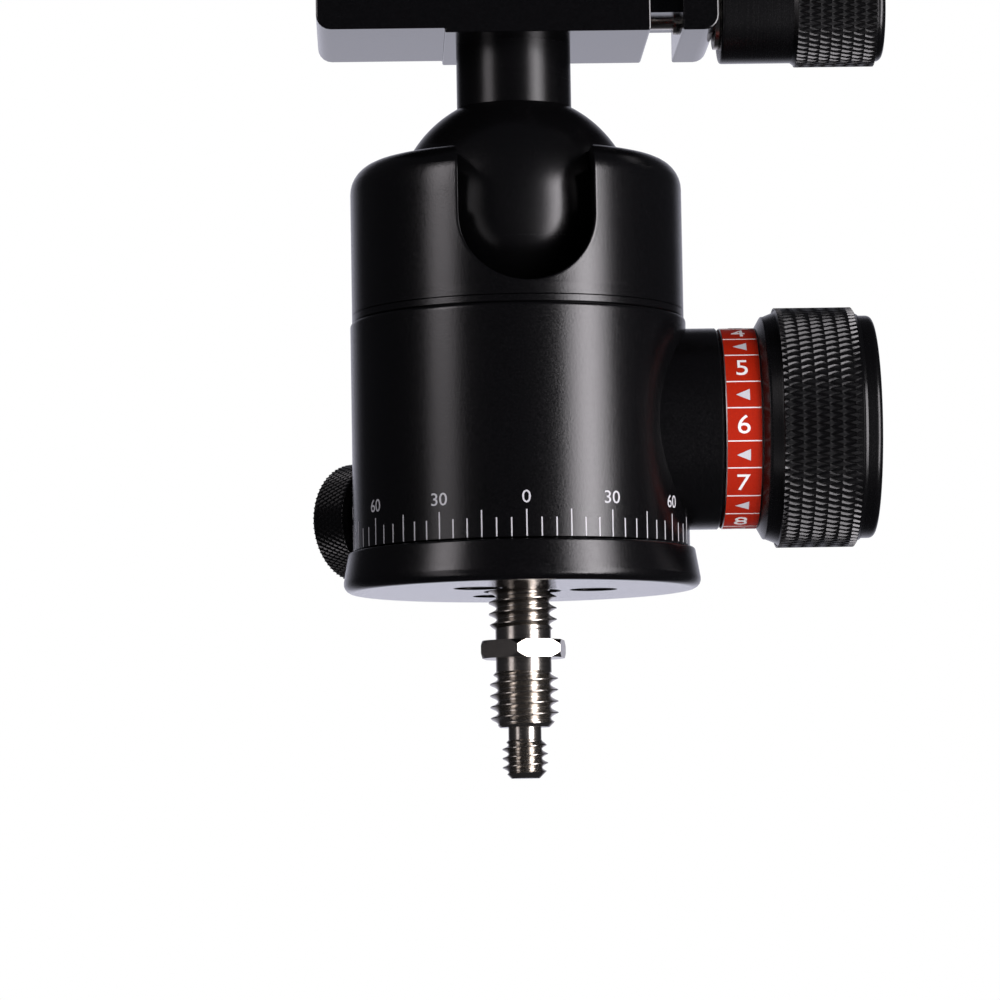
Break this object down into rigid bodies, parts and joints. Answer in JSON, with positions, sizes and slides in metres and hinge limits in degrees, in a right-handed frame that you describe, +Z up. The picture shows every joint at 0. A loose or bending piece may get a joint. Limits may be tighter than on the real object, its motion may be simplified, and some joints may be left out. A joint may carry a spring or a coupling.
{
  "type": "tripod ball head",
  "caption": "Camera ball head with a panning drum body, drop notch, numbered lock knob, pan lock, screw clamp for dovetail plates and a stud for the tripod.",
  "frame": {"origin": "centre of the base disc's underside, where it rests on the tripod's plate", "axes": "+Z up along the pan axis, +X towards the main lock knob, -Y towards the drop notch"},
  "size_m": [0.0812, 0.0542, 0.1199],
  "materials": {
    "black_anodised": "black satin anodised over a fine bead blast",
    "ball_black": "smooth matte black hard anodised",
    "knob_black": "black semi-gloss anodised, diamond knurl",
    "scale_red": "orange-red enamel with white figures",
    "nickel_steel": "bright nickel plated",
    "brass": "turned",
    "black_screw": "black oxide",
    "white_acetal": "smooth low-friction acetal",
    "black_acetal": "smooth black acetal"
  },
  "bodies": {
    "base": {"base_plate": "black_anodised", "tripod_stud": "nickel_steel", "base_screws": "black_screw", "pan_hub": "black_anodised", "pan_lower_washer": "white_acetal", "pan_upper_washer": "white_acetal", "pan_retainer": "nickel_steel", "retainer_screw": "black_screw"},
    "pan_housing": {"housing": "black_anodised", "collar": "black_anodised", "seat_ring": "white_acetal", "collar_grub_screw": "black_screw", "boss_bush": "brass", "spindle_washer": "white_acetal", "cup_guide_pins": "nickel_steel"},
    "wedge": {"lock_wedge": "brass"},
    "cup": {"pressure_cup": "black_acetal"},
    "main_lock_knob": {"main_knob": "knob_black", "main_scale_ring": "scale_red", "main_knob_cap": "knob_black", "main_knob_screw": "black_screw", "main_knob_washer": "nickel_steel", "lock_spindle": "nickel_steel"},
    "pan_pad": {"pan_pad": "brass"},
    "pan_lock_knob": {"pan_knob": "knob_black", "pan_knob_cap": "knob_black", "pan_lock_screw": "nickel_steel"},
    "liner": {"ball_liner": "white_acetal"},
    "ball": {"ball": "ball_black"},
    "camera_clamp": {"ball_stem": "black_anodised", "clamp_body": "black_anodised", "clamp_screws": "black_screw"},
    "jaw": {"clamp_jaw": "black_anodised"},
    "clamp_lock_knob": {"clamp_knob": "knob_black", "clamp_knob_cap": "knob_black", "clamp_bolt": "nickel_steel", "bolt_clip": "nickel_steel", "clamp_thrust_washer": "nickel_steel"}
  },
  "joints": [
    {"name": "pan", "type": "hinge", "parent": "base", "child": "pan_housing", "pos_m": [0, 0, 0.01175], "axis": [0, 0, 1], "continuous": true},
    {"name": "main_lock", "type": "hinge", "parent": "pan_housing", "child": "main_lock_knob", "pos_m": [0.03, 0, 0.0224], "axis": [1, 0, 0], "range_deg": [0, 216.5]},
    {"name": "wedge_slide", "type": "slide", "parent": "pan_housing", "child": "wedge", "axis": [1, 0, 0], "range_m": [0, 0.0006]},
    {"name": "cup_lift", "type": "slide", "parent": "pan_housing", "child": "cup", "axis": [0, 0, 1], "range_m": [-0.00022, 0]},
    {"name": "pan_lock_slide", "type": "slide", "parent": "pan_housing", "child": "pan_pad", "axis": [-0.7071, 0.7071, 0], "range_m": [0, 0.0012]},
    {"name": "pan_lock", "type": "hinge", "parent": "pan_pad", "child": "pan_lock_knob", "pos_m": [-0.02051, 0.02051, 0.01175], "axis": [-0.7071, 0.7071, 0], "range_deg": [0, 540.5]},
    {"name": "ball_side_tilt", "type": "hinge", "parent": "pan_housing", "child": "liner", "pos_m": [0, 0, 0.05295], "axis": [0, 1, 0], "range_deg": [-25, 25]},
    {"name": "ball_tilt", "type": "hinge", "parent": "liner", "child": "ball", "pos_m": [0, 0, 0.05295], "axis": [1, 0, 0], "range_deg": [-25, 90]},
    {"name": "ball_spin", "type": "hinge", "parent": "ball", "child": "camera_clamp", "pos_m": [0, 0, 0.05295], "axis": [0, 0, -1], "continuous": true},
    {"name": "jaw_slide", "type": "slide", "parent": "camera_clamp", "child": "jaw", "axis": [1, 0, 0], "range_m": [-0.0042, 0.001]},
    {"name": "clamp_lock", "type": "hinge", "parent": "jaw", "child": "clamp_lock_knob", "pos_m": [0.04, 0, 0.08215], "axis": [1, 0, 0], "range_deg": [-1512.5, 360.5]}
  ],
  "couplings": [
    {"joint": "main_lock", "follows": "wedge_slide", "rad_per_m": 6283.2},
    {"joint": "cup_lift", "follows": "wedge_slide", "ratio": -0.36397},
    {"joint": "pan_lock", "follows": "pan_lock_slide", "rad_per_m": 7854},
    {"joint": "clamp_lock", "follows": "jaw_slide", "rad_per_m": 6283.2}
  ]
}
